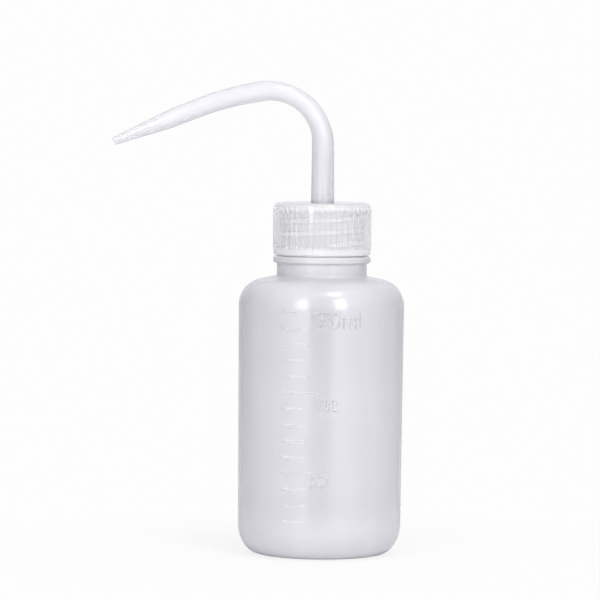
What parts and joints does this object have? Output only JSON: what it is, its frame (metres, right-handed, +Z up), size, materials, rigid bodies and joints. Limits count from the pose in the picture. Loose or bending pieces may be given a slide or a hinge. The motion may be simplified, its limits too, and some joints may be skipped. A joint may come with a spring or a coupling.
{
  "type": "wash bottle",
  "caption": "Squeeze wash bottle with a knurled screw cap, a bent delivery spout and a dip tube inside.",
  "frame": {"origin": "centre of the base's standing ring, on the surface that the bottle stands on", "axes": "+Z up along the bottle's axis; the spout points to -X"},
  "size_m": [0.0932, 0.0526, 0.1503],
  "materials": {
    "bottle_ldpe": "frosted natural polyethylene",
    "cap_pp": "clear satin polypropylene",
    "spout_ldpe": "smooth natural polyethylene",
    "tube_ldpe": "smooth natural polyethylene"
  },
  "bodies": {
    "bottle": {"bottle": "bottle_ldpe"},
    "dip_tube": {"dip_tube": "tube_ldpe"},
    "cap": {"cap": "cap_pp"},
    "spout": {"spout": "spout_ldpe"}
  },
  "joints": [
    {"name": "head_rise", "type": "slide", "parent": "bottle", "child": "dip_tube", "axis": [0, 0, 1], "range_m": [0, 0.009]},
    {"name": "cap_turn", "type": "hinge", "parent": "dip_tube", "child": "cap", "pos_m": [0, 0, 0.1], "axis": [0, 0, 1], "range_deg": [0, 810]},
    {"name": "spout_swivel", "type": "hinge", "parent": "dip_tube", "child": "spout", "pos_m": [0, 0, 0.1], "axis": [0, 0, 1], "continuous": true}
  ],
  "couplings": [
    {"joint": "head_rise", "follows": "cap_turn", "m_per_rad": 0.00063662}
  ]
}
